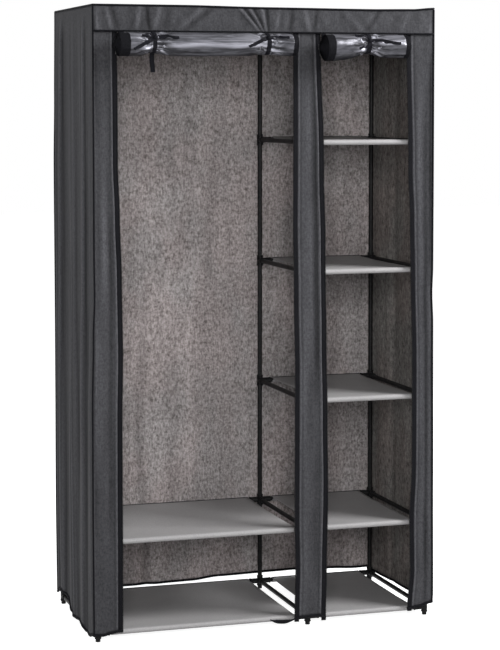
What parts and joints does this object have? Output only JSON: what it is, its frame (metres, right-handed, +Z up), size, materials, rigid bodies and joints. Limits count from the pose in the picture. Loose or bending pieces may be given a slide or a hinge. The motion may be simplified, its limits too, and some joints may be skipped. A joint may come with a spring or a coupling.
{
  "type": "portable fabric wardrobe",
  "caption": "Free-standing tube-frame wardrobe under a zipped cloth cover, with a hanging bay, a column of cloth shelves and two roll-up doors tied open.",
  "frame": {"origin": "on the floor, under the middle of the whole object's box, rolled doors included", "axes": "+X to the right seen from the front, +Y to the back, +Z up; the front faces -Y"},
  "size_m": [1.0092, 0.5728, 1.75],
  "materials": {
    "frame_steel": "black powder coat, satin",
    "rail_and_connectors": "black powder-coated tube with black moulded connectors",
    "cover_cloth": "charcoal non-woven cloth, faint embossed weave, black piped seams",
    "back_cloth": "thin non-woven cloth, mottled fibres seen against the light",
    "shelf_cloth": "grey non-woven cloth, smooth",
    "door_lining": "silver-grey coated inner face of the doors, soft sheen",
    "ribbon": "black woven ribbon",
    "zip_slider": "black enamel, semi-gloss"
  },
  "bodies": {
    "wardrobe": {"post_front_left": "frame_steel", "post_front_middle": "frame_steel", "post_front_right": "frame_steel", "post_rear_left": "frame_steel", "post_rear_middle": "frame_steel", "post_rear_right": "frame_steel", "rung_left_bottom": "frame_steel", "rung_left_lower": "frame_steel", "rung_left_top": "frame_steel", "rung_middle_bottom": "frame_steel", "rung_middle_lower": "frame_steel", "rung_middle_upper_1": "frame_steel", "rung_middle_upper_2": "frame_steel", "rung_middle_upper_3": "frame_steel", "rung_middle_top": "frame_steel", "rung_right_bottom": "frame_steel", "rung_right_lower": "frame_steel", "rung_right_upper_1": "frame_steel", "rung_right_upper_2": "frame_steel", "rung_right_upper_3": "frame_steel", "rung_right_top": "frame_steel", "hanging_rail": "frame_steel", "rail_front_bottom": "rail_and_connectors", "rail_front_lower": "rail_and_connectors", "rail_front_upper_1": "rail_and_connectors", "rail_front_upper_2": "rail_and_connectors", "rail_front_upper_3": "rail_and_connectors", "rail_front_top": "rail_and_connectors", "rail_rear_bottom": "rail_and_connectors", "rail_rear_lower": "rail_and_connectors", "rail_rear_upper_1": "rail_and_connectors", "rail_rear_upper_2": "rail_and_connectors", "rail_rear_upper_3": "rail_and_connectors", "rail_rear_top": "rail_and_connectors", "shelf_left_bottom": "shelf_cloth", "shelf_left_lower": "shelf_cloth", "shelf_right_bottom": "shelf_cloth", "shelf_right_lower": "shelf_cloth", "shelf_right_upper_1": "shelf_cloth", "shelf_right_upper_2": "shelf_cloth", "shelf_right_upper_3": "shelf_cloth", "cover_top": "cover_cloth", "cover_left_side": "cover_cloth", "cover_right_side": "cover_cloth", "cover_valance": "cover_cloth", "front_strip_left": "cover_cloth", "front_strip_middle": "cover_cloth", "front_strip_right": "cover_cloth", "door_curtain_left": "cover_cloth", "door_curtain_right": "cover_cloth", "cover_back": "back_cloth", "tie_left_outer": "ribbon", "tie_left_inner": "ribbon", "tie_right": "ribbon"},
    "door_left": {"door_roll_left": "door_lining"},
    "door_right": {"door_roll_right": "door_lining"},
    "slider_left_outer": {"zip_slider_left_outer": "zip_slider"},
    "slider_left_inner": {"zip_slider_left_inner": "zip_slider"},
    "slider_right_inner": {"zip_slider_right_inner": "zip_slider"},
    "slider_right_outer": {"zip_slider_right_outer": "zip_slider"}
  },
  "joints": [
    {"name": "door_left_drop", "type": "slide", "parent": "wardrobe", "child": "door_left", "axis": [0, 0, -1], "range_m": [0, 1.575], "deforming": ["door_curtain_left", "tie_left_outer", "tie_left_inner"]},
    {"name": "door_right_drop", "type": "slide", "parent": "wardrobe", "child": "door_right", "axis": [0, 0, -1], "range_m": [0, 1.56], "deforming": ["door_curtain_right", "tie_right"]},
    {"name": "zip_slider_left_outer_run", "type": "slide", "parent": "wardrobe", "child": "slider_left_outer", "axis": [0.0067, 0, -1], "range_m": [0, 1.57]},
    {"name": "zip_slider_left_inner_run", "type": "slide", "parent": "wardrobe", "child": "slider_left_inner", "axis": [0.0042, 0, -1], "range_m": [0, 1.57]},
    {"name": "zip_slider_right_inner_run", "type": "slide", "parent": "wardrobe", "child": "slider_right_inner", "axis": [0.0127, 0, -0.9999], "range_m": [0, 1.57]},
    {"name": "zip_slider_right_outer_run", "type": "slide", "parent": "wardrobe", "child": "slider_right_outer", "axis": [0.0079, 0, -1], "range_m": [0, 1.57]}
  ]
}
